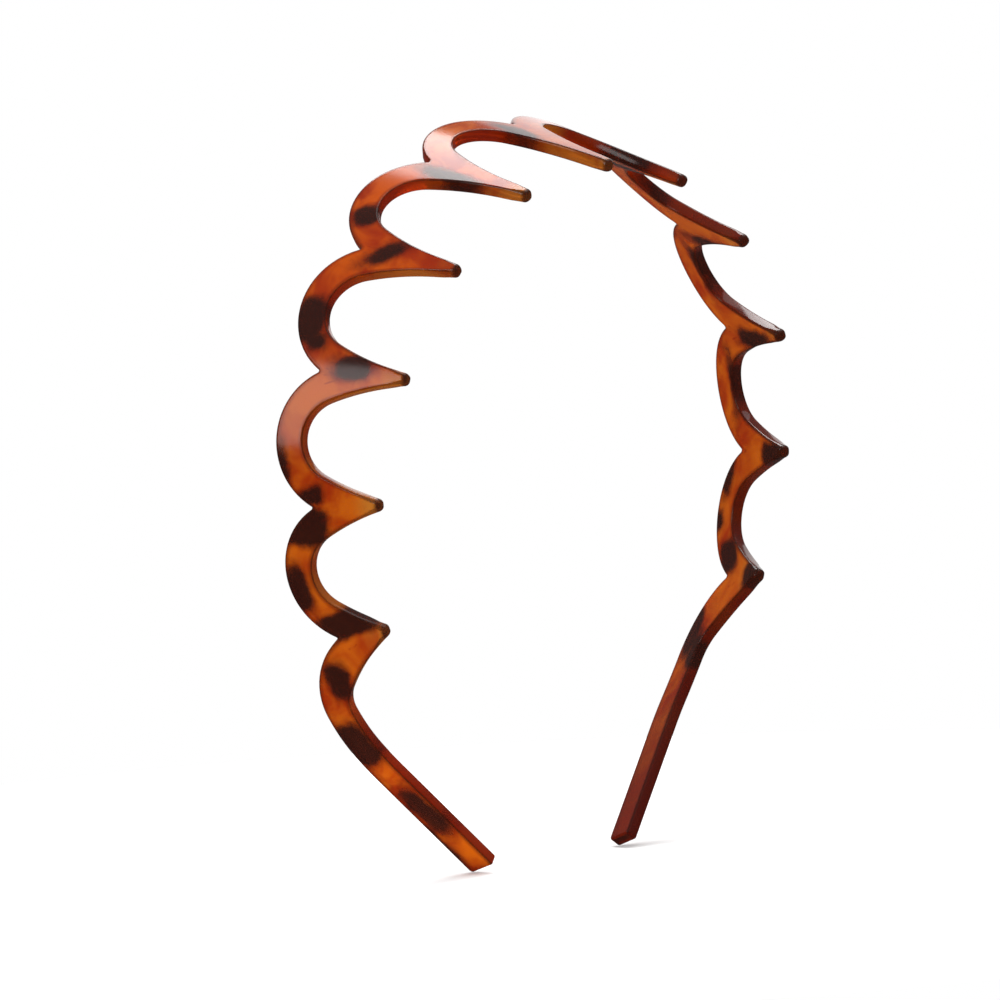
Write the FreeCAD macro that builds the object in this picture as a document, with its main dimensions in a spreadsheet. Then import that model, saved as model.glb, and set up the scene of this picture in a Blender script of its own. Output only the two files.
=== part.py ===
"""Scalloped comb headband: one springy hoop, divided into the sections it flexes between."""
import FreeCAD
import Part
import math
import os
import Sketcher

# The hoop stands upright: +X is the wearer's left, -Y the forehead, +Z the crown.
# The origin is the centre of the crown arc. Lengths in mm, angles in degrees.
sizes = {
    "toothPitch": 23.7,       # along the hoop, notch to notch
    "crownBend": 2.4388,      # radius of the crown arc, in tooth pitches
    "lowerBend": 3.0802,      # radius of the gentler arc behind the ears, in tooth pitches
    "crownRadius": "=toothPitch * crownBend",
    "lowerRadius": "=toothPitch * lowerBend",
    "stripLean": 16.4,        # the strip lies on a cone: teeth lean in, arches flare out
    "stripThick": 2.3,
    "notchDrift": 2.1,        # how far the hindmost side notches sit behind the crown's
    "archDepth": 7.0,         # arch top, ahead of the notches beside it
    "archWidth": 5.25,         # strip width at an arch top
    "hairRadius": 7.2,        # round end of each hair gap
    "toothHollow": 52.0,      # radius of a tooth's hollow sides
    "tipWidth": 2.5,
    "tipRound": 1.0,
    "flexGap": 0.12,          # between two sections, at an arch top
    "legArchReach": 15.3,     # lowest notch to the leg arch top, along the hoop
    "legArchFront": 7.6,      # leg arch top, ahead of the crown notch
    "legShoulder": 7.0,       # half length of the bend that turns a leg back
    "legSweep": 11.0,         # how far that bend turns
    "legStraight": 31.9,      # straight end of the hoop
    "legEndRound": 0.8,
    "reachCrown": 23.9,       # tooth lengths, from notch to tip
    "reachOne": 21.7,
    "reachTwo": 19.6,
    "reachThree": 16.8,
    "reachFour": 12.9,
    "reachFive": 9.6,
}
reaches = ["reachCrown", "reachOne", "reachTwo", "reachThree", "reachFour", "reachFive"]
hindmost = 3                  # the tooth whose notch sits furthest back
crownTeeth = 4                # teeth on each side of the crown arc
overrun = 1.5                 # outlines run this far past the faces that end a section
axisLength = 10.0

doc = FreeCAD.newDocument("Headband")
sheet = doc.addObject("Spreadsheet::Sheet", "Sizes")
for row, (alias, value) in enumerate(sizes.items(), start=1):
    sheet.set(f"A{row}", alias)
    sheet.set(f"B{row}", str(value))
    sheet.setAlias(f"B{row}", alias)
doc.recompute()


def known(expression):
    """A sheet expression with its value, which is a sketch point's first guess."""
    result = sheet.evalExpression(expression)
    return float(getattr(result, "Value", result)), expression


def scaled(sign, pair):
    value, expression = pair
    return sign * value, f"{sign} * ({expression})"


# How the hoop runs

def radius(k):
    """Arc radius between teeth k and k + 1."""
    return "Sizes.crownRadius" if k < crownTeeth else "Sizes.lowerRadius"


def notchY(k):
    """How far back a notch sits, measured across the strip."""
    return f"Sizes.notchDrift * (1 - (({k} - {hindmost}) / {hindmost}) ^ 2)"


def archTopY(k):
    """Front edge of the arch between teeth k and k + 1."""
    return f"(({notchY(k)} + {notchY(k + 1)}) / 2 - Sizes.archDepth)"


def arcAngle(length, radiusName):
    return f"(({length}) / {radiusName} * 1 rad)"


def seenAlong(length, radiusName):
    """Where the end of an arc length lies along a section's flat plane."""
    return f"{radiusName} * sin({arcAngle(length, radiusName)})"


def seenAcross(across, length, radiusName):
    """Where a point of the leaning strip lies across that plane, at the end of the arc."""
    drop = f"(1 - cos({arcAngle(length, radiusName)}))"
    lean = "sin(Sizes.stripLean * 1 deg)"
    return f"{across} + ({radiusName} - {across} * {lean}) * {drop} * {lean}"


def placeSection(body, side, crownPitches, lowerPitches):
    """X runs down the arm, Y across the strip and Z outward, at a point of the hoop."""
    first = arcAngle(f"{crownPitches} * Sizes.toothPitch", "Sizes.crownRadius")
    total = f"({first} + {arcAngle(f'{lowerPitches} * Sizes.toothPitch', 'Sizes.lowerRadius')})"
    shift = "(Sizes.crownRadius - Sizes.lowerRadius)"
    out = f"{side} * ({shift} * sin({first}) + Sizes.lowerRadius * sin({total}))"
    up = f"{shift} * cos({first}) + Sizes.lowerRadius * cos({total})"
    spin = f"rotation(vector(0; 1; 0); {side} * {total})"
    lean = "rotation(vector(1; 0; 0); -1 * Sizes.stripLean * 1 deg)"
    body.setExpression("Placement", f"placement(vector({out}; 0; {up}); {spin} * {lean})")


# Sketching

def newSketch(body, name, role):
    sketch = body.newObject("Sketcher::SketchObject", f"{body.Name}_{name}")
    plane = next(item for item in body.Origin.OriginFeatures if item.Role == role)
    sketch.AttachmentSupport = [(plane, "")]
    sketch.MapMode = "FlatFace"
    return sketch


def point(x, y):
    return FreeCAD.Vector(x, y, 0)


def pin(sketch, edge, end, label, x, y):
    """Fix one end of an edge by two dimensions, each tied to the sheet."""
    for axis, kind, line, (value, expression) in (("X", "DistanceX", -2, x), ("Y", "DistanceY", -1, y)):
        if expression == "0":
            sketch.addConstraint(Sketcher.Constraint("PointOnObject", edge, end, line))
            continue
        index = sketch.addConstraint(Sketcher.Constraint(kind, -1, 1, edge, end, value))
        sketch.renameConstraint(index, label + axis)
        sketch.setExpression(f"Constraints.{label}{axis}", expression)


def setRadius(sketch, edge, label, pair):
    index = sketch.addConstraint(Sketcher.Constraint("Radius", edge, pair[0]))
    sketch.renameConstraint(index, label)
    sketch.setExpression(f"Constraints.{label}", pair[1])


class Outline:
    """A closed chain of lines and arcs, each end joined to the next."""

    def __init__(self, sketch, x, y):
        self.sketch = sketch
        self.now = point(x, y)
        self.chain = []

    def join(self, geometry, forward, smooth):
        index = self.sketch.addGeometry(geometry, False)
        first, last = (1, 2) if forward else (2, 1)
        if self.chain:
            kind = "Tangent" if smooth else "Coincident"
            previous = self.chain[-1]
            rule = Sketcher.Constraint(kind, previous[0], previous[2], index, first)
            self.sketch.addConstraint(rule)
        self.chain.append((index, first, last))
        return index, last

    def lineTo(self, x, y, smooth=False):
        start, self.now = self.now, point(x, y)
        return self.join(Part.LineSegment(start, self.now), True, smooth)

    def arcTo(self, x, y, centre, smooth=False):
        start, self.now = self.now, point(x, y)
        a = math.atan2(start.y - centre[1], start.x - centre[0])
        b = math.atan2(y - centre[1], x - centre[0])
        forward = math.remainder(b - a, 2 * math.pi) > 0
        circle = Part.Circle(point(*centre), FreeCAD.Vector(0, 0, 1), math.dist((x, y), centre))
        arc = Part.ArcOfCircle(circle, a, b) if forward else Part.ArcOfCircle(circle, b, a)
        return self.join(arc, forward, smooth)

    def close(self):
        first, last = self.chain[0], self.chain[-1]
        rule = Sketcher.Constraint("Coincident", last[0], last[2], first[0], first[1])
        self.sketch.addConstraint(rule)


def rectangle(sketch, label, low, high):
    """An upright rectangle between two corners; each corner is a pair of known sizes."""
    (x0, y0), (x1, y1) = low, high
    outline = Outline(sketch, x0[0], y0[0])
    corners = [("B", x1, y0), ("C", x1, y1), ("D", x0, y1), ("A", x0, y0)]
    for name, x, y in corners:
        edge, end = outline.lineTo(x[0], y[0])
        pin(sketch, edge, end, label + name, x, y)
    outline.close()


# The strip, as a leaning band

def bandSketch(body, name, radiusName, front, back):
    """Cross-section of the strip, with the arc's axle as a construction line."""
    sketch = newSketch(body, name, "YZ_Plane")
    lean = "Sizes.stripLean * 1 deg"
    start = known(f"{radiusName} * sin({lean})"), known(f"-1 * {radiusName} * cos({lean})")
    end = (known(f"{radiusName} * sin({lean}) + {axisLength} * cos({lean})"),
           known(f"{axisLength} * sin({lean}) - {radiusName} * cos({lean})"))
    line = Part.LineSegment(point(start[0][0], start[1][0]), point(end[0][0], end[1][0]))
    axle = sketch.addGeometry(line, True)
    pin(sketch, axle, 1, "axleStart", *start)
    pin(sketch, axle, 2, "axleEnd", *end)
    half = known("Sizes.stripThick / 2")
    rectangle(sketch, "strip", (front, scaled(-1, half)), (back, half))
    return sketch


def bendBand(body, name, radiusName, direction, length, front, back):
    """Sweep the strip round its arc, down the arm (+1) or up it (-1), to mid-gap."""
    sketch = bandSketch(body, f"{name}Section", radiusName, front, back)
    band = body.newObject("PartDesign::Revolution", f"{body.Name}_{name}")
    band.Profile = sketch
    band.ReferenceAxis = (sketch, ["Axis0"])
    band.Reversed = direction < 0
    band.setExpression("Angle", arcAngle(f"{length} - Sizes.flexGap / 2", radiusName))
    sketch.Visibility = False


def runBand(body, name, direction, length, front, back):
    """Carry the strip straight on, down the arm."""
    sketch = newSketch(body, f"{name}Section", "YZ_Plane")
    half = known("Sizes.stripThick / 2")
    rectangle(sketch, "strip", (front, scaled(-1, half)), (back, half))
    run = body.newObject("PartDesign::Pad", f"{body.Name}_{name}")
    run.Profile = sketch
    run.Reversed = direction < 0
    run.setExpression("Length", length)


def trimBand(body, sketch):
    """Cut away everything between the outline and the frame drawn round it."""
    doc.recompute()
    before = body.Shape.Volume
    trim = body.newObject("PartDesign::Pocket", f"{body.Name}_Trim")
    trim.Profile = sketch
    trim.Type = "ThroughAll"
    trim.Midplane = True
    doc.recompute()
    if not 0 < body.Shape.Volume < before:
        raise RuntimeError(f"{body.Label}: trimming cut nothing")


# Tooth sections: a tooth with half an arch on each shoulder

def hollowCentre(inner, innerRadius, corner, cornerRadius, hollow, sign):
    """Centre of the hollow side: it meets the hair gap's round end and the tip's corner."""
    a, b = hollow - innerRadius, hollow + cornerRadius
    gap = math.dist(inner, corner)
    along = (a * a - b * b + gap * gap) / (2 * gap)
    off = math.sqrt(a * a - along * along)
    ux, uy = (corner[0] - inner[0]) / gap, (corner[1] - inner[1]) / gap
    choices = [(inner[0] + along * ux - s * off * uy, inner[1] + along * uy + s * off * ux)
               for s in (1, -1)]
    return max(choices, key=lambda c: sign * c[0])


def towards(centre, other, distance):
    span = math.dist(centre, other)
    return tuple(c + (o - c) * distance / span for c, o in zip(centre, other))


def halfTooth(outline, label, sign, shoulder, notch, tip, fromNotch):
    """One side of a tooth: arch front, cut end, hair gap, hollow side and tip corner."""
    x, front = scaled(sign, shoulder[0]), shoulder[1]
    past = scaled(sign, known(f"{shoulder[0][1]} + {overrun}"))
    back = known(f"{front[1]} + Sizes.archWidth")
    round_ = known("Sizes.hairRadius")[0]
    corner = known("Sizes.tipRound")[0]
    hollow = known("Sizes.toothHollow")[0]
    depth = notch[0] - front[0]
    archCentre = (x[0], front[0] + (x[0] ** 2 + depth ** 2) / (2 * depth))
    hairCentre = (x[0], back[0] + round_)
    tipX = scaled(sign, known("Sizes.tipWidth / 2 - Sizes.tipRound"))
    cornerCentre = (tipX[0], tip[0] - corner)
    side = hollowCentre(hairCentre, round_, cornerCentre, corner, hollow, sign)
    root = towards(side, hairCentre, hollow)
    neck = towards(side, cornerCentre, hollow)
    sketch = outline.sketch
    zero = (0.0, "0")
    if fromNotch:
        edge, end = outline.arcTo(x[0], front[0], archCentre)
        pin(sketch, edge, end, label + "archTop", x, front)
        edge, end = outline.lineTo(past[0], front[0], smooth=True)
        pin(sketch, edge, end, label + "endFront", past, front)
        edge, end = outline.lineTo(past[0], back[0])
        pin(sketch, edge, end, label + "endBack", past, back)
        edge, end = outline.lineTo(x[0], back[0])
        pin(sketch, edge, end, label + "gapEnd", x, back)
        edge, end = outline.arcTo(*root, hairCentre, smooth=True)
        setRadius(sketch, edge, label + "hair", (round_, "Sizes.hairRadius"))
        edge, end = outline.arcTo(*neck, side, smooth=True)
        setRadius(sketch, edge, label + "hollow", (hollow, "Sizes.toothHollow"))
        edge, end = outline.arcTo(tipX[0], tip[0], cornerCentre, smooth=True)
        setRadius(sketch, edge, label + "tip", (corner, "Sizes.tipRound"))
        pin(sketch, edge, end, label + "tipEnd", tipX, tip)
    else:
        edge, end = outline.lineTo(tipX[0], tip[0], smooth=True)
        pin(sketch, edge, end, label + "tipEnd", tipX, tip)
        edge, end = outline.arcTo(*neck, cornerCentre, smooth=True)
        setRadius(sketch, edge, label + "tip", (corner, "Sizes.tipRound"))
        edge, end = outline.arcTo(*root, side, smooth=True)
        setRadius(sketch, edge, label + "hollow", (hollow, "Sizes.toothHollow"))
        edge, end = outline.arcTo(x[0], back[0], hairCentre, smooth=True)
        setRadius(sketch, edge, label + "hair", (round_, "Sizes.hairRadius"))
        pin(sketch, edge, end, label + "gapEnd", x, back)
        edge, end = outline.lineTo(past[0], back[0], smooth=True)
        pin(sketch, edge, end, label + "endBack", past, back)
        edge, end = outline.lineTo(past[0], front[0])
        pin(sketch, edge, end, label + "endFront", past, front)
        edge, end = outline.lineTo(x[0], front[0])
        pin(sketch, edge, end, label + "archTop", x, front)
        edge, end = outline.arcTo(0.0, notch[0], archCentre, smooth=True)
        pin(sketch, edge, end, label + "notch", zero, notch)


def shoulderOf(length, radiusName, front):
    return known(seenAlong(length, radiusName)), known(seenAcross(front, length, radiusName))


def toothSection(name, k, side):
    body = doc.addObject("PartDesign::Body", name)
    body.Label = name
    halfPitch = "Sizes.toothPitch / 2"
    lowerLength = "Sizes.legArchReach" if k == len(reaches) - 1 else halfPitch
    lowerFront = "(-1 * Sizes.legArchFront)" if k == len(reaches) - 1 else archTopY(k)
    upperFront = archTopY(abs(k - 1)) if k else archTopY(0)
    upperRadius, lowerRadius = radius(k - 1), radius(k)
    notch = known(notchY(k))
    tip = known(f"{notchY(k)} + Sizes.{reaches[k]}")
    front = known(f"min({upperFront}; {lowerFront}) - {overrun}")
    back = known(f"{tip[1]} + {overrun}")
    bendBand(body, "Lower", lowerRadius, side, lowerLength, front, back)
    bendBand(body, "Upper", upperRadius, -side, halfPitch, front, back)

    sketch = newSketch(body, "Outline", "XY_Plane")
    lower = shoulderOf(lowerLength, lowerRadius, lowerFront)
    upper = shoulderOf(halfPitch, upperRadius, upperFront)
    outline = Outline(sketch, 0.0, notch[0])
    halfTooth(outline, "lower", side, lower, notch, tip, True)
    halfTooth(outline, "upper", -side, upper, notch, tip, False)
    outline.close()
    reach = known(f"max({lower[0][1]}; {upper[0][1]}) + 2 * {overrun}")
    low = scaled(-1, reach), known(f"{front[1]} - {overrun}")
    high = reach, known(f"{back[1]} + {overrun}")
    rectangle(sketch, "frame", low, high)
    trimBand(body, sketch)
    crownPitches = min(k, crownTeeth)
    placeSection(body, side, crownPitches, k - crownPitches)
    return body


# Legs: the lower half of the last arch, then a plain strip to the cut end

def legSection(name, side):
    body = doc.addObject("PartDesign::Body", name)
    body.Label = name
    length = "(Sizes.toothPitch - Sizes.legArchReach)"
    radiusName = "Sizes.lowerRadius"
    start, archTop = shoulderOf(length, radiusName, "(-1 * Sizes.legArchFront)")
    sweep = "(Sizes.legSweep * 1 deg)"
    bend = f"(2 * Sizes.legShoulder / sin({sweep}))"
    width = "Sizes.archWidth"
    frontY = f"({archTop[1]})"
    bendEndX = "Sizes.legShoulder"
    bendEndY = f"({frontY} + {bend} * (1 - cos({sweep})))"
    endX = f"(Sizes.legStraight + {width} / 2 * sin({sweep}))"
    endY = f"({bendEndY} + ({endX} - {bendEndX}) * tan({sweep}))"
    across = f"{width} * sin({sweep})", f"{width} * cos({sweep})"
    front = known(f"{frontY} - {overrun}")
    back = known(f"{endY} + {width} + {overrun}")
    bendBand(body, "Upper", radiusName, -side, length, front, back)
    runBand(body, "Straight", side, f"Sizes.legStraight + {width}", front, back)

    def spot(x, y):
        return scaled(side, known(x)), known(y)

    sketch = newSketch(body, "Outline", "XY_Plane")
    past = f"-1 * ({start[1]} + {overrun})"
    bendStart = "-1 * Sizes.legShoulder"
    nose = "Sizes.legEndRound"
    noseAlong = f"{endX} - {nose} * cos({sweep})", f"{endY} - {nose} * sin({sweep})"
    noseAcross = f"{endX} - {nose} * sin({sweep})", f"{endY} + {nose} * cos({sweep})"
    route = [
        ("bendStart", bendStart, frontY, None),
        ("bendEnd", bendEndX, bendEndY, (bendStart, f"{frontY} + {bend}")),
        ("noseStart", *noseAlong, None),
        ("noseEnd", *noseAcross, (f"{noseAlong[0]} - {across[0]} * {nose} / {width}",
                                  f"{noseAlong[1]} + {across[1]} * {nose} / {width}")),
        ("endBack", f"{endX} - {across[0]}", f"{endY} + {across[1]}", None),
        ("backBendEnd", f"{bendEndX} - {across[0]}", f"{bendEndY} + {across[1]}", None),
        ("backBendStart", bendStart, f"{frontY} + {width}", (bendStart, f"{frontY} + {bend}")),
        ("pastBack", past, f"{frontY} + {width}", None),
        ("pastFront", past, frontY, None),
    ]
    first = spot(past, frontY)
    outline = Outline(sketch, first[0][0], first[1][0])
    for label, x, y, centre in route:
        place = spot(x, y)
        if centre is None:
            edge, end = outline.lineTo(place[0][0], place[1][0])
        else:
            middle = spot(*centre)
            edge, end = outline.arcTo(place[0][0], place[1][0], (middle[0][0], middle[1][0]))
            arcSize = f"{bend}" if label == "bendEnd" else nose
            arcSize = f"{bend} - {width}" if label == "backBendStart" else arcSize
            setRadius(sketch, edge, label + "Radius", known(arcSize))
        pin(sketch, edge, end, label, *place)
    outline.close()
    reach = f"Sizes.legStraight + {width} + {overrun}"
    corners = sorted([spot(reach, "0")[0], spot(f"{past} - {overrun}", "0")[0]])
    low = corners[0], known(f"{front[1]} - {overrun}")
    high = corners[1], known(f"{back[1]} + {overrun}")
    rectangle(sketch, "frame", low, high)
    trimBand(body, sketch)
    placeSection(body, side, crownTeeth, 2)
    return body


sections = [toothSection("crown_tooth", 0, 1)]
for label, side in (("left", 1), ("right", -1)):
    for k in range(1, len(reaches)):
        sections.append(toothSection(f"{label}_tooth_{k}", k, side))
    sections.append(legSection(f"{label}_leg", side))
doc.recompute()

for item in doc.Objects:
    if "Invalid" in item.State or "Error" in item.State:
        raise RuntimeError(f"{item.Label} failed: {item.State}")
    if item.isDerivedFrom("Sketcher::SketchObject") and not item.FullyConstrained:
        raise RuntimeError(f"{item.Label} is loose")
for body in sections:
    if body.Shape.isNull() or not body.Shape.isValid() or len(body.Shape.Solids) != 1:
        raise RuntimeError(f"{body.Label} is not one valid solid")

os.makedirs("parts", exist_ok=True)
for body in sections:
    body.Shape.exportStep(f"parts/{body.Label}.step")
    print(body.Label, "volume", round(body.Shape.Volume, 1), "mm3")
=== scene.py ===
import bpy
import math
import numpy as np
from mathutils import Matrix, Vector


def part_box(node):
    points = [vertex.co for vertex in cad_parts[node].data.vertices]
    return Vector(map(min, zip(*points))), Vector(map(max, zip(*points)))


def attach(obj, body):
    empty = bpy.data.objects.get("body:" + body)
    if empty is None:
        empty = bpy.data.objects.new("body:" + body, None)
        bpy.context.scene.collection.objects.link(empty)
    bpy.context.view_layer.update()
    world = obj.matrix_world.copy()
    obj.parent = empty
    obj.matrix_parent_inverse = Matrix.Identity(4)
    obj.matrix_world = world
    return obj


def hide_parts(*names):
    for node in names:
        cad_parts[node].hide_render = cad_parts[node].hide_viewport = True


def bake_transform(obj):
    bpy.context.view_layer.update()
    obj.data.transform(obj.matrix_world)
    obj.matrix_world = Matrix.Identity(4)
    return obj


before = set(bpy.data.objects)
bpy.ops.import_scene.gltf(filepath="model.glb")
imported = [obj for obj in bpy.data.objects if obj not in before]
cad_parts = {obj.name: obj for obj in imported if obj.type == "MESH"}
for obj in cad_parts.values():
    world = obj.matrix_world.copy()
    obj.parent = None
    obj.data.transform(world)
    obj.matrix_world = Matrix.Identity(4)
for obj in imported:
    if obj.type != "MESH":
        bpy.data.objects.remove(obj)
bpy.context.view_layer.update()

mm = 0.001
print("frame loaded,", len(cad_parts), "solids")

# The hoop, in mm. Along the hoop is s (wearer's left positive), across it is y (teeth positive),
# and off is the height above the middle of the strip.
hoop = {
    "crownRadius": 57.8,
    "lowerRadius": 73.0,
    "lean": math.radians(16.4),
    "thick": 2.3,
    "pitch": 23.7,
    "crownTeeth": 4,          # tooth pitches along the crown arc, each side
    "lowerTeeth": 2,          # and along the lower arc after it
    "edgeRound": 0.42,        # softened edges all round
    "tipSoft": 0.95,          # tooth tips are rounder still,
    "tipNub": 1.5,            # over this length, then fading
    "tipFade": 2.5,
    "leastRound": 0.02,
    "notchRound": 0.3,
}
comb = {
    "reaches": [23.9, 21.7, 19.6, 16.8, 12.9, 9.6],   # notch to tip, crown tooth first
    "drift": 2.1,
    "driftPeak": 3,           # the tooth whose notch lies furthest back
    "archDepth": 7.0,
    "archWidth": 5.25,
    "hairRadius": 7.2,
    "hollow": 52.0,
    "tipWidth": 2.5,
    "tipRound": 1.0,
}
leg = {
    "archReach": 15.3,        # lowest notch to the leg's arch top
    "front": -7.6,
    "shoulder": 7.0,
    "sweep": math.radians(11.0),
    "straight": 31.9,
    "cornerRound": 0.8,
    "seamPlace": 5.0,         # seam, past the arch top
}
comb["last"] = len(comb["reaches"]) - 1

# How finely the strip is drawn
grid = {
    "rows": 12,               # across a face
    "crowding": 0.45,         # rows crowd towards the edges
    "roundSteps": 4,          # round an edge
    "tipLine": 2,
    "tipCorner": 6,
    "side": 16,
    "hair": 18,
    "lead": 4,
    "shoulder": 16,
    "straight": 26,
    "legEnd": 13,
    "notchLine": 0.3,         # share of the notch arc that faces the tip
    "sideShare": 0.10,        # share of the front arch that faces a tooth's side
    "hairEase": 1.45,         # the rest faces the hair gap, quickening towards the arch top
    "seamAngle": math.radians(40.0),
}
noSeam = 9.0                  # a seam angle that is never the nearest

# Outline in flat coordinates

def notchAcross(k):
    return comb["drift"] * (1 - ((k - comb["driftPeak"]) / comb["driftPeak"]) ** 2)


def archTop(k):
    if k == comb["last"]:
        return leg["front"]
    return (notchAcross(k) + notchAcross(k + 1)) / 2 - comb["archDepth"]


def around(centre, radius, angle):
    return centre[0] + radius * math.cos(angle), centre[1] + radius * math.sin(angle)


# Columns from the middle of tooth k to the arch top beside it; side is +1 down the arm
def halfTooth(k, side):
    half = leg["archReach"] if k == comb["last"] and side > 0 else hoop["pitch"] / 2
    top = archTop(k) if side > 0 else archTop(abs(k - 1))
    notch, reach = notchAcross(k), comb["reaches"][k]
    tip = notch + reach
    depth = notch - top
    frontRadius = (half ** 2 + depth ** 2) / (2 * depth)
    frontCentre = half, top + frontRadius
    small = hoop["notchRound"]
    notchCentre = 0.0, frontCentre[1] - math.sqrt((frontRadius + small) ** 2 - half ** 2)
    joinAngle = math.atan2(frontCentre[1] - notchCentre[1], half)
    hairCentre = half, top + comb["archWidth"] + comb["hairRadius"]
    corner = comb["tipWidth"] / 2 - comb["tipRound"], tip - comb["tipRound"]
    a, b = comb["hollow"] - comb["hairRadius"], comb["hollow"] + comb["tipRound"]
    span = math.dist(hairCentre, corner)
    along = (a * a - b * b + span * span) / (2 * span)
    out = math.sqrt(a * a - along * along)
    ux, uy = (corner[0] - hairCentre[0]) / span, (corner[1] - hairCentre[1]) / span
    sideCentre = max((hairCentre[0] + along * ux - t * out * uy, hairCentre[1] + along * uy + t * out * ux)
                     for t in (1, -1))
    rootAngle = math.atan2(hairCentre[1] - sideCentre[1], hairCentre[0] - sideCentre[0])
    neckAngle = math.atan2(corner[1] - sideCentre[1], corner[0] - sideCentre[0])

    backs = []                # point, normal into the plastic, and where the column's front end is
    facing = grid["notchLine"]
    for i in range(grid["tipLine"]):
        t = i / grid["tipLine"]
        backs.append(((corner[0] * t, tip), (0.0, -1.0), ("notch", facing * t)))
    for i in range(grid["tipCorner"]):
        t = i / grid["tipCorner"]
        angle = math.pi / 2 + t * math.remainder(neckAngle - math.pi - math.pi / 2, 2 * math.pi)
        normal = -math.cos(angle), -math.sin(angle)
        point = around(corner, comb["tipRound"], angle)
        backs.append((point, normal, ("notch", facing + (1 - facing) * t)))
    turn = math.remainder(rootAngle - neckAngle, 2 * math.pi)
    for i in range(grid["side"]):
        t = i / grid["side"]
        angle = neckAngle + t * turn
        normal = math.cos(angle), math.sin(angle)
        backs.append((around(sideCentre, comb["hollow"], angle), normal, ("arch", grid["sideShare"] * t)))
    sweep = math.remainder(-math.pi / 2 - rootAngle, 2 * math.pi)
    for i in range(grid["hair"] + 1):
        t = i / grid["hair"]
        angle = rootAngle + t * sweep
        normal = math.cos(angle), math.sin(angle)
        ease = 1 - (1 - grid["sideShare"]) * (1 - t) ** grid["hairEase"]
        backs.append((around(hairCentre, comb["hairRadius"], angle), normal, ("arch", ease)))

    added = []
    startAngle = math.atan2(notchCentre[1] - frontCentre[1], -half)
    archTurn = math.remainder(-math.pi / 2 - startAngle, 2 * math.pi)
    for point, normal, (where, t) in backs:
        if where == "notch":
            angle = math.pi / 2 + t * (joinAngle - math.pi / 2)
            front, frontNormal = around(notchCentre, small, angle), (math.cos(angle), math.sin(angle))
        else:
            angle = startAngle + t * archTurn
            front = around(frontCentre, frontRadius, angle)
            frontNormal = -math.cos(angle), -math.sin(angle)
        tipAway = max(tip - hoop["tipNub"] - point[1], 0.0) / hoop["tipFade"]
        extraSoft = (hoop["tipSoft"] - hoop["edgeRound"]) * max(1 - tipAway, 0.0) ** 2
        facingAngle = math.atan2(-normal[1], -normal[0]) - math.pi / 2
        added.append({
            "front": front, "back": point, "frontNormal": frontNormal, "backNormal": normal,
            "backSoft": hoop["edgeRound"] + extraSoft, "shrink": 0.0,
            "seam": abs(math.remainder(facingAngle, 2 * math.pi)) if where == "arch" else noSeam,
        })
    s = k * hoop["pitch"]
    for c in added:
        for key in ("front", "back"):
            c[key] = (s + side * c[key][0], c[key][1])
        for key in ("frontNormal", "backNormal"):
            c[key] = (side * c[key][0], c[key][1])
    return added


# Columns from just past the leg's arch top to its end
def legColumns():
    start = comb["last"] * hoop["pitch"] + leg["archReach"]
    base = (comb["last"] + 1) * hoop["pitch"]
    width, sweep = comb["archWidth"], leg["sweep"]
    bendRadius = 2 * leg["shoulder"] / math.sin(sweep)
    bendStart = base - leg["shoulder"]
    stations = []
    for s in np.linspace(start, bendStart, grid["lead"])[1:]:
        stations.append((s, leg["front"], 0.0))
    for turn in np.linspace(0, sweep, grid["shoulder"])[1:]:
        drop = bendRadius * (1 - math.cos(turn))
        stations.append((bendStart + bendRadius * math.sin(turn), leg["front"] + drop, turn))
    s0, y0, _ = stations[-1]
    run = (leg["straight"] - leg["shoulder"] + width / 2 * math.sin(sweep)) / math.cos(sweep)
    corner, edge = leg["cornerRound"], hoop["edgeRound"]
    offsets = list(np.linspace(0, run - corner, grid["straight"])[1:])
    offsets += [run - corner * (1 - math.sin(a)) for a in np.linspace(0, math.pi / 2, grid["legEnd"])[1:-1]]
    offsets.append(run)
    for d in offsets:
        stations.append((s0 + d * math.cos(sweep), y0 + d * math.sin(sweep), sweep))
    added = []
    firstStraight = len(stations) - len(offsets)
    for i, (s, y, turn) in enumerate(stations):
        normal = -math.sin(turn), math.cos(turn)
        left = run - math.hypot(s - s0, y - y0) if i >= firstStraight else run
        frontCut = corner - math.sqrt(max(corner ** 2 - max(corner - left, 0) ** 2, 0))
        backCut = edge - math.sqrt(max(edge ** 2 - max(edge - left, 0) ** 2, 0))
        added.append({
            "front": (s + normal[0] * frontCut, y + normal[1] * frontCut),
            "back": (s + normal[0] * (width - backCut), y + normal[1] * (width - backCut)),
            "frontNormal": normal, "backNormal": (-normal[0], -normal[1]),
            "backSoft": edge, "seam": noSeam, "shrink": backCut,
        })
    return added


# All columns of one arm, from the middle of the crown tooth to the leg's end, with the seams' places
def armColumns():
    taken, seams = [], []

    def takeWithSeam(added, mismatch):
        start = len(taken)
        taken.extend(added)
        seams.append(min(range(start, len(taken)), key=lambda i: mismatch(taken[i])))

    def offSeamAngle(c):
        return abs(c["seam"] - grid["seamAngle"])

    takeWithSeam(halfTooth(0, 1), offSeamAngle)
    for k in range(1, comb["last"] + 1):
        takeWithSeam(halfTooth(k, -1)[::-1][1:], offSeamAngle)
        takeWithSeam(halfTooth(k, 1)[1:], offSeamAngle)
    legSeam = comb["last"] * hoop["pitch"] + leg["archReach"] + leg["seamPlace"]
    takeWithSeam(legColumns(), lambda c: abs(c["front"][0] - legSeam))
    return taken, seams


leftColumns, leftSeams = armColumns()
rightColumns = []
for c in leftColumns[:0:-1]:
    mirrored = dict(c)
    for key in ("front", "back", "frontNormal", "backNormal"):
        mirrored[key] = (-c[key][0], c[key][1])
    rightColumns.append(mirrored)
columns = rightColumns + leftColumns
middle = len(rightColumns)
print("outline drawn,", len(columns), "columns")


# The flat strip: one ring of points for each column

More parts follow.
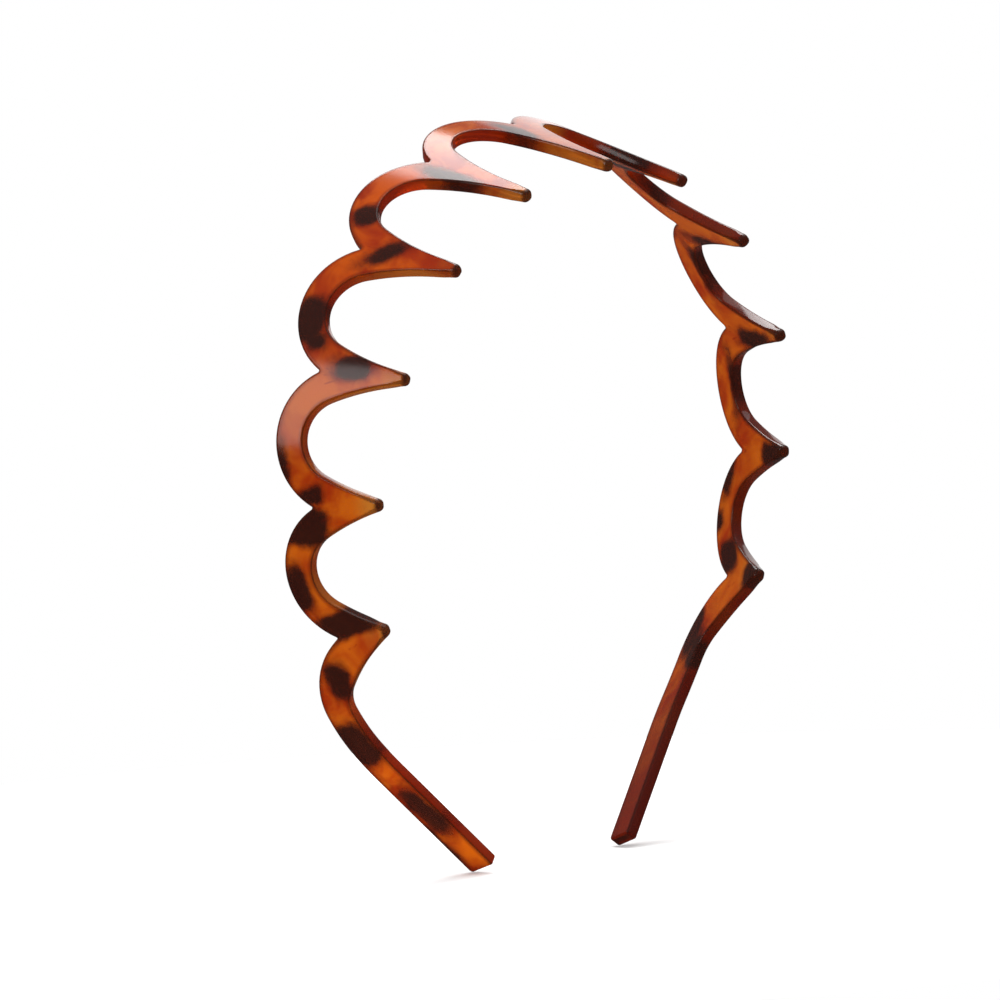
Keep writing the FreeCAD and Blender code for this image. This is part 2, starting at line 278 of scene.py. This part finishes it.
# Points of one ring (s, y, off) from the front edge on, how much wall each is, and its gap to an edge
def ringOf(c):
    half = hoop["thick"] / 2 - c["shrink"]
    frontSoft = max(hoop["edgeRound"] - c["shrink"], hoop["leastRound"])
    backSoft = max(c["backSoft"] - c["shrink"], hoop["leastRound"])
    front, back = np.array(c["front"]), np.array(c["back"])
    frontNormal, backNormal = np.array(c["frontNormal"]), np.array(c["backNormal"])
    innerFront, innerBack = front + frontNormal * frontSoft, back + backNormal * backSoft
    steps, crowding = grid["roundSteps"], grid["crowding"]
    waves = [math.cos(math.pi * i / grid["rows"]) for i in range(grid["rows"] + 1)]
    spread = [0.5 - 0.5 * wave * (1 - crowding + crowding * abs(wave)) for wave in waves]
    span = np.linalg.norm(innerBack - innerFront)
    rim = [min(t * span + frontSoft, (1 - t) * span + backSoft) for t in spread]
    points, wall, gap = [], [], list(rim)
    for t in spread:
        points.append((*(innerFront + (innerBack - innerFront) * t), half))
        wall.append(0.0)
    for edge, normal, soft, sign in ((back, backNormal, backSoft, 1), (front, frontNormal, frontSoft, -1)):
        bends = [(math.pi / 2 * i / steps, 1) for i in range(1, steps + 1)]
        bends += [(math.pi / 2 * (steps - i) / steps, -1) for i in range(steps)]
        for angle, part in bends:
            inset = soft * (1 - math.sin(angle))
            height = (half - soft + soft * math.cos(angle)) * part * sign
            points.append((*(edge + normal * inset), height))
            wall.append(math.sin(angle))
            gap.append(inset)
        if sign > 0:
            gap += reversed(rim)
            for t in reversed(spread):
                points.append((*(innerFront + (innerBack - innerFront) * t), -half))
                wall.append(0.0)
    return points, wall, gap


rings, walls, gaps = [], [], []
for c in columns:
    points, wall, gap = ringOf(c)
    rings.append(points)
    walls.append(wall)
    gaps.append(gap)
rings = np.array(rings)
ringSize = rings.shape[1]
flatPoints = rings.reshape(-1, 3)
wallShare = np.array(walls).reshape(-1)
rimGap = np.array(gaps).reshape(-1)

# Where the colours lie, point by point

# Dark patches: along, across, half length, half width in mm, then turn in degrees.
patches = {
    "left": [
        (3.2, 4.0, 1.6, 4.4, 0), (26.3, 7.4, 1.5, 5.8, -2), (40.6, -1.0, 2.2, 2.3, 20),
        (47.2, 7.2, 1.3, 4.0, 40), (62.4, -2.2, 3.9, 2.8, 0), (66.0, 0.4, 1.4, 1.6, 0),
        (69.9, 8.4, 2.1, 3.8, 6), (87.6, -3.8, 3.6, 1.0, 4), (93.0, 1.4, 1.6, 2.2, 20),
        (97.4, -0.8, 3.7, 4.8, -12), (108.8, -3.6, 4.0, 2.1, 10), (115.6, 5.2, 2.4, 8.4, 12),
        (126.6, -1.9, 3.5, 2.2, -6), (140.4, -5.2, 5.0, 2.8, 10), (158.2, -1.6, 5.9, 1.8, 12),
        (166.0, -3.0, 4.8, 0.7, 11),
    ],
    "right": [
        (21.0, 7.0, 1.5, 8.0, 0), (27.0, 7.0, 1.4, 6.2, 0), (38.0, 1.4, 3.2, 1.1, 20),
        (50.4, 9.0, 1.3, 6.4, 0), (58.2, 1.0, 4.4, 1.1, 6), (72.6, 10.6, 1.8, 4.6, 0),
        (82.0, 0.6, 4.4, 0.9, 0), (95.6, 11.6, 2.4, 2.8, 0), (99.6, -2.4, 3.6, 1.3, -14),
        (107.6, -4.4, 1.5, 1.0, 0), (114.6, 0.6, 3.2, 2.4, 24), (119.0, 8.8, 2.2, 2.0, 0),
        (129.0, -5.2, 4.6, 1.7, -4), (133.0, -2.8, 3.4, 1.3, 0),
    ],
}
# Two short painted reflections of the notch walls beside each notch, seen inside the clear plastic: both
# ends (along, across), then half width.
paintedNotchReflections = [((-0.75, 1.5), (0.7, 1.05), 0.42), ((2.3, 1.4), (1.55, 3.0), 0.42)]

# Patches are superellipses: 1 well inside, 0 on the outline, -1 well outside
patchPower = 2.6
patchEdge = 1.5
hoopPlace, acrossPlace = flatPoints[:, 0], flatPoints[:, 1]
patchField = np.full(len(flatPoints), -1.0)
for name, side in (("left", 1), ("right", -1)):
    for along, across, halfLength, halfWidth, turn in patches[name]:
        angle = math.radians(turn)
        ds, dy = hoopPlace * side - along, acrossPlace - across
        a = ds * math.cos(angle) + dy * math.sin(angle)
        b = dy * math.cos(angle) - ds * math.sin(angle)
        powers = (np.abs(a) / halfLength) ** patchPower + (np.abs(b) / halfWidth) ** patchPower
        inside = (1 - powers ** (1 / patchPower)) * min(halfLength, halfWidth) / patchEdge
        patchField = np.maximum(patchField, inside)
patchField = np.clip(patchField, -1, 1)

# Stretches along the hoop: where each starts or has its middle, and how far it runs, in mm
stretches = {
    "smoke": (-10.0, 160.0),  # the right arm is smokier, and more so towards its leg
    "blush": (44.0, 36.0),    # redder below the crown on the left arm
    "gold": (-9.5, 6.0),      # golden wall beside the crown tooth
}
smokeStart, smokeRun = stretches["smoke"]
smokeField = np.clip((smokeStart - hoopPlace) / smokeRun, 0, 1)


def stretchField(name):
    centre, run = stretches[name]
    return np.clip(1 - np.abs(hoopPlace - centre) / run, 0, 1)


farFromTips = 60.0            # in mm, beyond every fade that starts at a tip
tipField = np.full(len(flatPoints), farFromTips)
dashField = np.zeros(len(flatPoints))
for k, reach in enumerate(comb["reaches"]):
    for side in ((1, -1) if k else (1,)):
        s, notch = side * k * hoop["pitch"], notchAcross(k)
        along, across = (hoopPlace - s) * side, acrossPlace - notch
        aside = np.maximum(np.abs(along) - comb["tipWidth"] / 2, 0)
        tipField = np.minimum(tipField, np.hypot(aside, np.minimum(across - reach, 0)))
        # Painted reflections of the notch walls, beside each notch
        for (a0, b0), (a1, b1), width in paintedNotchReflections:
            da, db = a1 - a0, b1 - b0
            share = np.clip(((along - a0) * da + (across - b0) * db) / (da ** 2 + db ** 2), 0, 1)
            away = np.hypot(along - a0 - share * da, across - b0 - share * db)
            dashField = np.maximum(dashField, 1 - away / width)
print("flat strip measured,", len(flatPoints), "points")


# Quads between rings, facing outward
def faceRings(first, last):
    faces = []
    for i in range(first, last):
        for j in range(ringSize):
            a, b = i * ringSize + j, i * ringSize + (j + 1) % ringSize
            faces.append((a, a + ringSize, b + ringSize, b))
    return faces


def setField(mesh, name, values):
    attribute = mesh.attributes.new(name, "FLOAT", "POINT")
    attribute.data.foreach_set("value", np.asarray(values, np.float32))


flatMesh = bpy.data.meshes.new("flatStrip")
lastRing = len(columns) - 1
ends = [tuple(range(ringSize)), tuple(lastRing * ringSize + j for j in reversed(range(ringSize)))]
flatMesh.from_pydata([tuple(p * mm) for p in flatPoints], [], faceRings(0, lastRing) + ends)
fields = {
    "wallShare": wallShare, "patch": patchField, "tipGap": tipField, "dash": dashField,
    "smoke": smokeField, "rimGap": rimGap, "blush": stretchField("blush"), "gold": stretchField("gold"),
}
for name, values in fields.items():
    setField(flatMesh, name, values)
flatMesh.validate()
flatStrip = bpy.data.objects.new("flatStrip", flatMesh)
bpy.context.scene.collection.objects.link(flatStrip)


# Node writing

# A node socket that takes part in sums
class Wire:
    def __init__(self, bench, socket):
        self.bench, self.socket = bench, socket

    def work(self, operation, *values):
        node = self.bench.add("ShaderNodeMath", {"operation": operation}, dict(enumerate(values)))
        return Wire(self.bench, node.outputs[0])

    def __add__(self, other): return self.work("ADD", self, other)
    def __radd__(self, other): return self.work("ADD", other, self)
    def __sub__(self, other): return self.work("SUBTRACT", self, other)
    def __rsub__(self, other): return self.work("SUBTRACT", other, self)
    def __mul__(self, other): return self.work("MULTIPLY", self, other)
    def __rmul__(self, other): return self.work("MULTIPLY", other, self)
    def __truediv__(self, other): return self.work("DIVIDE", self, other)
    def __rtruediv__(self, other): return self.work("DIVIDE", other, self)

    def sine(self): return self.work("SINE", self)
    def cosine(self): return self.work("COSINE", self)
    def size(self): return self.work("ABSOLUTE", self)
    def sign(self): return self.work("SIGN", self)
    def least(self, other): return self.work("MINIMUM", self, other)
    def most(self, other): return self.work("MAXIMUM", self, other)

    # 0 below low, 1 above high, smooth between
    def step(self, low, high):
        node = self.bench.add("ShaderNodeMapRange", {"interpolation_type": "SMOOTHSTEP"},
                              {"Value": self, "From Min": low, "From Max": high})
        return Wire(self.bench, node.outputs[0])


# A node tree being filled
class Bench:
    def __init__(self, tree):
        self.tree = tree

    def add(self, kind, settings=None, inputs=None):
        node = self.tree.nodes.new(kind)
        for name, value in (settings or {}).items():
            setattr(node, name, value)
        for name, value in (inputs or {}).items():
            socket = node.inputs[name]
            if isinstance(value, Wire):
                self.tree.links.new(value.socket, socket)
            elif isinstance(value, (tuple, list)) and socket.type == "RGBA":
                socket.default_value = (*value, 1.0)
            else:
                socket.default_value = value
        return node

    def wire(self, node, output=0):
        return Wire(self, node.outputs[output])

    def blend(self, share, low, high):
        node = self.add("ShaderNodeMix", {"data_type": "RGBA"}, {0: share, 6: low, 7: high})
        return self.wire(node, 2)


# Wrapping the flat strip round the hoop

def wrapTree():
    tree = bpy.data.node_groups.new("wrapOntoHoop", "GeometryNodeTree")
    sockets = tree.interface
    sockets.new_socket("Geometry", in_out="INPUT", socket_type="NodeSocketGeometry")
    for name in ("Crown Radius", "Lower Radius", "Tooth Pitch", "Crown Teeth", "Strip Lean"):
        sockets.new_socket(name, in_out="INPUT", socket_type="NodeSocketFloat")
    sockets.new_socket("Material", in_out="INPUT", socket_type="NodeSocketMaterial")
    sockets.new_socket("Geometry", in_out="OUTPUT", socket_type="NodeSocketGeometry")
    bench = Bench(tree)
    given = bench.add("NodeGroupInput")
    crown, lower, pitch, teeth, lean = (bench.wire(given, i) for i in range(1, 6))
    place = bench.wire(bench.add("GeometryNodeInputPosition"))
    apart = bench.add("ShaderNodeSeparateXYZ", None, {0: place})
    along, across, off = (bench.wire(apart, i) for i in range(3))
    arm = along.size()
    crownRun = pitch * teeth
    lowerRun = pitch * hoop["lowerTeeth"]
    crownTurn = arm.least(crownRun) / crown
    turn = crownTurn + (arm - crownRun).most(0.0).least(lowerRun) / lower
    straight = (arm - crownRun - lowerRun).most(0.0)
    arcsOut = crown * crownTurn.sine() + lower * (turn.sine() - crownTurn.sine())
    arcsUp = crown * crownTurn.cosine() + lower * (turn.cosine() - crownTurn.cosine())
    middleOut = arcsOut + straight * turn.cosine()
    middleUp = arcsUp - straight * turn.sine()
    rise = off * lean.cosine() - across * lean.sine()
    out = (middleOut + rise * turn.sine()) * along.sign()
    back = across * lean.cosine() + off * lean.sine()
    up = middleUp + rise * turn.cosine()
    placed = bench.wire(bench.add("ShaderNodeCombineXYZ", None, {0: out, 1: back, 2: up}))
    kept = bench.add("GeometryNodeStoreNamedAttribute", {"data_type": "FLOAT_VECTOR", "domain": "POINT"},
                     {"Geometry": bench.wire(given, 0), "Name": "flat", "Value": place})
    moved = bench.add("GeometryNodeSetPosition", None, {"Geometry": bench.wire(kept), "Position": placed})
    real = bench.add("GeometryNodeRealizeInstances", None, {"Geometry": bench.wire(moved)})
    dressed = bench.add("GeometryNodeSetMaterial", None,
                        {"Geometry": bench.wire(real), "Material": bench.wire(given, 6)})
    bench.add("NodeGroupOutput", None, {0: bench.wire(dressed)})
    return tree


# Material: clouded amber plastic, dark patches let into it, with painted shade on walls, rims and edges and
# painted reflections of the notch walls

plastic = {
    "deep": (0.46, 0.036, 0.0005),
    "amber": (0.74, 0.145, 0.002),
    "honey": (0.66, 0.26, 0.030),
    "blush": (0.80, 0.110, 0.001),
    "blushDeep": (0.46, 0.028, 0.0005),
    # painted shade: the deeper red of walls, seen through more plastic
    "wallShadeRed": (0.25, 0.010, 0.0005),
    "wallHoney": (0.46, 0.135, 0.014),
    "smoke": (0.135, 0.006, 0.0005),
    "smokeWall": (0.040, 0.003, 0.001),
    # painted shade along the faces' rims, and the patches' own red halo
    "rimShadeAndHaloRed": (0.14, 0.007, 0.0005),
    "patchDark": (0.032, 0.007, 0.004),
    # painted shade along the rounded edges between face and wall
    "edgeShade": (0.030, 0.006, 0.002),
    "tipDark": (0.042, 0.009, 0.003),
    "seam": (0.6, 0.12, 0.01),
    "roughness": 0.12,
    "roughnessSwing": 0.06,
    "transmission": 0.45,
    "ior": 1.49,
    "specular": 0.22,
    "bumpStrength": 0.08,
    "bumpDistance": 0.0006,
}
# Scale per metre, detail, roughness and distortion of each noise
noises = {
    "cloud": (110.0, 3.0, 0.55, 0.6),
    "lobes": (230.0, 2.0, 0.5, 0.4),
    "ragged": (620.0, 3.0, 0.6, 0.0),
    "fine": (1900.0, 3.0, 0.6, 0.0),
    "speck": (5200.0, 1.0, 0.5, 0.0),
    "waves": (75.0, 2.0, 0.5, 0.0),
}
# Where each layer of colour sets in and where it is full; those measured from a tip or a rim are in mm
fades = {
    "amber": (0.34, 0.66),
    "rosyCloud": (0.38, 0.60),
    "blush": (0.0, 0.6),
    "tipHoney": (1.5, 6.0),
    "tipCloud": (0.30, 0.60),
    "wallHoney": (7.0, 24.0),
    "wallCloud": (0.26, 0.54),
    "anySmoke": (0.01, 0.07),
    "smokeWall": (0.0, 0.4),
    "gold": (0.0, 0.6),
    "smoke": (0.68, 0.98),
    # painted shade on the walls
    "wall": (0.25, 0.85),
    # painted shade along the faces' rims
    "rim": (0.30, 1.15),
    "faceOnly": (0.0, 0.6),
    "halo": (-0.85, 0.0),
    "patch": (-0.36, 0.30),
    # painted shade along the rounded edges
    "edge": (0.25, 0.95),
    # painted reflections of the notch walls
    "notchReflection": (0.35, 0.9),
    "tipEnd": (0.5, 1.5),
    "speck": (0.60, 0.70),
}
# How much of each layer shows; a pair is a base and what a noise adds to it
strengths = {
    "blush": 0.80,
    "tipHoney": 0.7,
    "wallHoney": 0.92,
    "smokeWall": 0.78,
    "gold": (0.55, 0.45),
    "smoke": 0.90,
    # painted shade on the walls
    "wall": 0.92,
    # painted shade along the faces' rims
    "rim": (0.35, 0.5),
    "halo": 0.65,
    "patch": (0.93, 0.07),
    # painted shade along the rounded edges
    "edge": (0.60, 0.30),
    # painted reflections of the notch walls
    "notchReflection": 0.55,
    "tipEnd": 0.85,
    "speck": 0.25,
}
# How far each noise pushes a patch's outline to and fro, and the last one a dark tip's
wander = {"lobes": 1.2, "ragged": 0.45, "fine": 0.25, "tip": 0.5}


def shellMaterial():
    material = bpy.data.materials.new("cloudedAmber")
    material.use_nodes = True
    tree = material.node_tree
    tree.nodes.clear()
    bench = Bench(tree)

    def field(name, output="Fac"):
        node = bench.add("ShaderNodeAttribute", {"attribute_name": name, "attribute_type": "GEOMETRY"})
        return Wire(bench, node.outputs[output])

    flat = field("flat", "Vector")
    wall, patch, tip, dash = (field(name) for name in ("wallShare", "patch", "tipGap", "dash"))
    smoke, rim, blush, gold = (field(name) for name in ("smoke", "rimGap", "blush", "gold"))

    def noise(name):
        scale, detail, rough, distortion = noises[name]
        node = bench.add("ShaderNodeTexNoise", {"noise_dimensions": "3D"}, {
            "Vector": flat, "Scale": scale, "Detail": detail,
            "Roughness": rough, "Distortion": distortion,
        })
        return bench.wire(node)

    def fade(value, name):
        return value.step(*fades[name])

    def strength(name, grain):
        base, added = strengths[name]
        return base + added * grain

    cloud, lobes, ragged = noise("cloud"), noise("lobes"), noise("ragged")
    fine, speck = noise("fine"), noise("speck")
    # Faces: cloudy amber, rosier on one stretch and honey at the tips
    colour = bench.blend(fade(cloud, "amber"), plastic["deep"], plastic["amber"])
    rosy = bench.blend(fade(cloud, "rosyCloud"), plastic["blushDeep"], plastic["blush"])
    colour = bench.blend(fade(blush, "blush") * strengths["blush"], colour, rosy)
    nearTip = (1 - fade(tip, "tipHoney")) * fade(cloud, "tipCloud")
    colour = bench.blend(nearTip * strengths["tipHoney"], colour, plastic["honey"])
    # Walls: painted shade, a deeper red where the eye looks through more plastic; honey towards the tips,
    # dark where it is smoky
    towardsTip = (1 - fade(tip, "wallHoney")) * fade(cloud, "wallCloud") * (1 - fade(smoke, "anySmoke"))
    wallShadeTone = bench.blend(towardsTip * strengths["wallHoney"], plastic["wallShadeRed"], plastic["wallHoney"])
    smoky = fade(smoke, "smokeWall") * strengths["smokeWall"]
    wallShadeTone = bench.blend(smoky, wallShadeTone, plastic["smokeWall"])
    wallShadeTone = bench.blend(fade(gold, "gold") * strength("gold", ragged), wallShadeTone, plastic["wallHoney"])
    colour = bench.blend(fade(smoke, "smoke") * strengths["smoke"], colour, plastic["smoke"])
    # The walls take that tone as painted shade
    colour = bench.blend(fade(wall, "wall") * strengths["wall"], colour, wallShadeTone)
    # A dark red line painted along each face's rim, as shade
    rimShade = (1 - fade(rim, "rim")) * (1 - fade(wall, "faceOnly"))
    colour = bench.blend(rimShade * strength("rim", cloud), colour, plastic["rimShadeAndHaloRed"])
    # Patches with ragged outlines and a red halo
    dark = patch + (lobes - 0.5) * wander["lobes"] + (ragged - 0.5) * wander["ragged"]
    dark = dark + (fine - 0.5) * wander["fine"]
    colour = bench.blend(fade(dark, "halo") * strengths["halo"], colour, plastic["rimShadeAndHaloRed"])
    colour = bench.blend(fade(dark, "patch") * strength("patch", fine), colour, plastic["patchDark"])
    # The rounded edge between face and wall, painted dark as shade, the painted reflections of the notch
    # walls, the tips' ends and the specks
    edge = fade(wall * (1 - wall) * 4, "edge")
    colour = bench.blend(edge * strength("edge", ragged), colour, plastic["edgeShade"])
    # Painted reflections of the notch walls, in the walls' shade red
    colour = bench.blend(fade(dash, "notchReflection") * strengths["notchReflection"], colour, plastic["wallShadeRed"])
    tipEnd = 1 - fade(tip + (ragged - 0.5) * wander["tip"], "tipEnd")
    colour = bench.blend(tipEnd * strengths["tipEnd"], colour, plastic["tipDark"])
    colour = bench.blend(fade(speck, "speck") * strengths["speck"], colour, plastic["deep"])
    bump = bench.add("ShaderNodeBump", None, {
        "Strength": plastic["bumpStrength"], "Distance": plastic["bumpDistance"], "Height": noise("waves"),
    })
    shader = bench.add("ShaderNodeBsdfPrincipled", None, {
        "Base Color": colour, "Roughness": plastic["roughness"] + (cloud - 0.5) * plastic["roughnessSwing"],
        "Normal": bench.wire(bump), "IOR": plastic["ior"], "Specular IOR Level": plastic["specular"],
        "Transmission Weight": plastic["transmission"],
    })
    bench.add("ShaderNodeOutputMaterial", None, {"Surface": bench.wire(shader)})
    return material


# The cut where one length of strip runs on into the next: nothing of it shows
def seamMaterial():
    material = bpy.data.materials.new("clearSeam")
    material.use_nodes = True
    shader = material.node_tree.nodes["Principled BSDF"]
    shader.inputs["Base Color"].default_value = (*plastic["seam"], 1.0)
    shader.inputs["Alpha"].default_value = 0.0
    return material


shell, clear = shellMaterial(), seamMaterial()
wrap = flatStrip.modifiers.new("wrap", "NODES")
wrap.node_group = wrapTree()
wrapInputs = {
    "Crown Radius": hoop["crownRadius"] * mm, "Lower Radius": hoop["lowerRadius"] * mm,
    "Tooth Pitch": hoop["pitch"] * mm, "Crown Teeth": float(hoop["crownTeeth"]),
    "Strip Lean": hoop["lean"], "Material": shell,
}
for item in wrap.node_group.interface.items_tree:
    if item.in_out == "INPUT" and item.name in wrapInputs:
        wrap[item.identifier] = wrapInputs[item.name]
seen = flatStrip.evaluated_get(bpy.context.evaluated_depsgraph_get())
wrapped = bpy.data.meshes.new_from_object(seen)
flatStrip.modifiers.remove(wrap)
bpy.data.objects.remove(flatStrip)
count = len(wrapped.vertices)
spots = np.empty(count * 3, np.float32)
wrapped.vertices.foreach_get("co", spots)
spots = spots.reshape(-1, 3)
flatKept = np.empty(count * 3, np.float32)
wrapped.attributes["flat"].data.foreach_get("vector", flatKept)
flatKept = flatKept.reshape(-1, 3)
normals = np.array([n.vector for n in wrapped.vertex_normals], np.float32)
print("strip wrapped onto the hoop,", count, "points")


# Pieces

bendRoom = {"margin": 0.0001, "least": 0.002}    # in metres


# One closed length of the strip, from ring first to ring last
def cutPiece(name, first, last, endsShown=()):
    low, high = first * ringSize, (last + 1) * ringSize
    faces = [tuple(v - low for v in f) for f in faceRings(first, last)]
    bands = len(faces)
    faces.append(tuple(range(ringSize)))
    faces.append(tuple(high - low - ringSize + j for j in reversed(range(ringSize))))
    mesh = bpy.data.meshes.new(name)
    mesh.from_pydata([tuple(float(v) for v in p) for p in spots[low:high]], [], faces)
    mesh.materials.append(shell)
    mesh.materials.append(clear)
    for end, face in (("first", bands), ("last", bands + 1)):
        mesh.polygons[face].material_index = 0 if end in endsShown else 1
    for fieldName, values in fields.items():
        setField(mesh, fieldName, values[low:high])
    attribute = mesh.attributes.new("flat", "FLOAT_VECTOR", "POINT")
    attribute.data.foreach_set("vector", flatKept[low:high].reshape(-1))
    mesh.polygons.foreach_set("use_smooth", [True] * len(faces))
    own = normals[low:high]
    loopNormals = []
    for polygon in mesh.polygons:
        flatEnd = polygon.index >= bands
        for v in polygon.vertices:
            loopNormals.append(tuple(polygon.normal) if flatEnd else tuple(float(x) for x in own[v]))
    mesh.normals_split_custom_set(loopNormals)
    piece = bpy.data.objects.new(name, mesh)
    bpy.context.scene.collection.objects.link(piece)
    return piece


def ringSpan(ring, origin, direction):
    shares = (spots[ring * ringSize:(ring + 1) * ringSize] - origin) @ direction
    return float(shares.min()), float(shares.max())


# Checks that an arch between two bodies has room to bend, and bakes its placement; the arch is not bent
def bendBetween(piece, first, last, side):
    a, b = (first, last) if side > 0 else (last, first)
    centreA = spots[a * ringSize:(a + 1) * ringSize].mean(0)
    centreB = spots[b * ringSize:(b + 1) * ringSize].mean(0)
    direction = (centreB - centreA) / np.linalg.norm(centreB - centreA)
    start = ringSpan(a, centreA, direction)[1] + bendRoom["margin"]
    end = ringSpan(b, centreA, direction)[0] - bendRoom["margin"]
    if end - start < bendRoom["least"]:
        raise RuntimeError(piece.name + ": no room to bend")
    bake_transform(piece)


# Rings between two columns of the left arm, or between their mirror images
def ringRange(a, b, side):
    return (middle + a, middle + b) if side > 0 else (middle - b, middle - a)


crownPiece = cutPiece("crownTooth", middle - leftSeams[0], middle + leftSeams[0])
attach(crownPiece, "crown_tooth")
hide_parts("crown_tooth")
for arm, side in (("left", 1), ("right", -1)):
    for k in range(1, comb["last"] + 2):
        isTooth = k <= comb["last"]
        below = f"{arm}_tooth_{k}" if isTooth else f"{arm}_leg"
        first, last = ringRange(leftSeams[2 * k - 2], leftSeams[2 * k - 1], side)
        arch = cutPiece(f"{arm}Arch{k}", first, last)
        bendBetween(arch, first, last, side)
        if isTooth:
            first, last = ringRange(leftSeams[2 * k - 1], leftSeams[2 * k], side)
            piece = cutPiece(f"{arm}Tooth{k}", first, last)
        else:
            first, last = ringRange(leftSeams[2 * k - 1], len(leftColumns) - 1, side)
            piece = cutPiece(f"{arm}Leg", first, last, ("last",) if side > 0 else ("first",))
        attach(piece, below)
        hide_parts(below)
print("pieces cut")


# Surroundings

studio = {
    "floorRadius": 0.20,
    "floorSides": 128,
    "floorColour": (0.97, 0.97, 0.97),
    "floorRoughness": 0.9,
    "roomLight": 0.95,
    "mirrorLow": 0.07,        # the room as the gloss shows it, level with the hoop
    "mirrorHigh": 0.26,       # and above it
    "mirrorRise": (0.0, 0.9),  # how steeply a ray climbs at each
    "sunPower": 0.55,
    "sunWidth": math.radians(40.0),
    "sunPlace": (-0.25, 0.1, 1.0),
    "panels": {
        "overhead": {"place": (-0.35, -0.40, 0.85), "size": (0.42, 0.36), "watts": 3.4},
        "leftSide": {"place": (1.25, -0.24, 0.45), "size": (0.46, 0.58), "watts": 2.7},
        "rearWall": {"place": (-1.30, -1.00, 0.55), "size": (1.5, 0.9), "watts": 5.6},
    },
}


# A lamp that shines from its place towards the origin
def hangLamp(name, data, place):
    lamp = bpy.data.objects.new(name, data)
    lamp.location = place
    lamp.rotation_euler = (-Vector(place)).to_track_quat("-Z", "Y").to_euler()
    bpy.context.scene.collection.objects.link(lamp)


floorLevel = min(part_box(f"{arm}_leg")[0].z for arm in ("left", "right"))
floorMesh = bpy.data.meshes.new("paleFloor")
floorTurns = [2 * math.pi * i / studio["floorSides"] for i in range(studio["floorSides"])]
floorRim = [(*around((0, 0), studio["floorRadius"], angle), floorLevel) for angle in floorTurns]
floorMesh.from_pydata(floorRim, [], [tuple(range(studio["floorSides"]))])
floor = bpy.data.objects.new("paleFloor", floorMesh)
floor.visible_glossy = False
bpy.context.scene.collection.objects.link(floor)
paper = bpy.data.materials.new("palePaper")
paper.use_nodes = True
paperShader = paper.node_tree.nodes["Principled BSDF"]
paperShader.inputs["Base Color"].default_value = (*studio["floorColour"], 1.0)
paperShader.inputs["Roughness"].default_value = studio["floorRoughness"]
paperShader.inputs["Specular IOR Level"].default_value = 0.0
floorMesh.materials.append(paper)

# A plain white room, which the gloss sees as a dim slope of light instead
world = bpy.data.worlds.new("softRoom")
bpy.context.scene.world = world
world.use_nodes = True
world.node_tree.nodes.clear()
room = Bench(world.node_tree)
rays = room.add("ShaderNodeLightPath")
inGloss = Wire(room, rays.outputs["Is Glossy Ray"])
inView = Wire(room, rays.outputs["Is Camera Ray"])
way = room.add("ShaderNodeSeparateXYZ", None, {0: room.wire(room.add("ShaderNodeTexCoord"))})
climb = room.wire(way, 2).step(*studio["mirrorRise"])
glow = studio["mirrorLow"] + climb * (studio["mirrorHigh"] - studio["mirrorLow"])
plain = studio["roomLight"] + inView * (1 - studio["roomLight"])
sky = room.add("ShaderNodeBackground", None, {
    "Color": (1.0, 1.0, 1.0), "Strength": inGloss * glow + (1 - inGloss) * plain,
})
room.add("ShaderNodeOutputWorld", None, {"Surface": room.wire(sky)})

for name, panel in studio["panels"].items():
    panelData = bpy.data.lights.new(name + "Panel", "AREA")
    panelData.shape = "RECTANGLE"
    panelData.size, panelData.size_y = panel["size"]
    panelData.energy = panel["watts"]
    hangLamp(name + "Panel", panelData, panel["place"])
sunData = bpy.data.lights.new("softSun", "SUN")
sunData.energy, sunData.angle = studio["sunPower"], studio["sunWidth"]
hangLamp("softSun", sunData, studio["sunPlace"])
bpy.context.scene.view_settings.view_transform = "Standard"

camera = {
    "aim": (0.0041, -0.0037, -0.0076), "azimuth": 132.48, "elevation": 4.38, "roll": -2.9,
    "distance": 1.5346, "lens": 311.4, "sensor": 36.0, "clipEnd": 50.0,
}
azimuth, elevation = math.radians(camera["azimuth"] - 90), math.radians(camera["elevation"])
eastward, northward = around((0, 0), math.cos(elevation), azimuth)
viewBack = Vector((eastward, northward, math.sin(elevation)))
level = Vector((0, 0, 1)).cross(viewBack).normalized()
upright = viewBack.cross(level)
roll = math.radians(camera["roll"])
viewRight = level * math.cos(roll) + upright * math.sin(roll)
viewTurn = Matrix((viewRight, viewBack.cross(viewRight), viewBack)).transposed().to_4x4()
cameraData = bpy.data.cameras.new("portrait")
cameraData.lens, cameraData.sensor_width = camera["lens"], camera["sensor"]
cameraData.clip_end = camera["clipEnd"]
eye = bpy.data.objects.new("portrait", cameraData)
eye.matrix_world = Matrix.Translation(Vector(camera["aim"]) + viewBack * camera["distance"]) @ viewTurn
bpy.context.scene.collection.objects.link(eye)
bpy.context.scene.camera = eye
print("studio set")
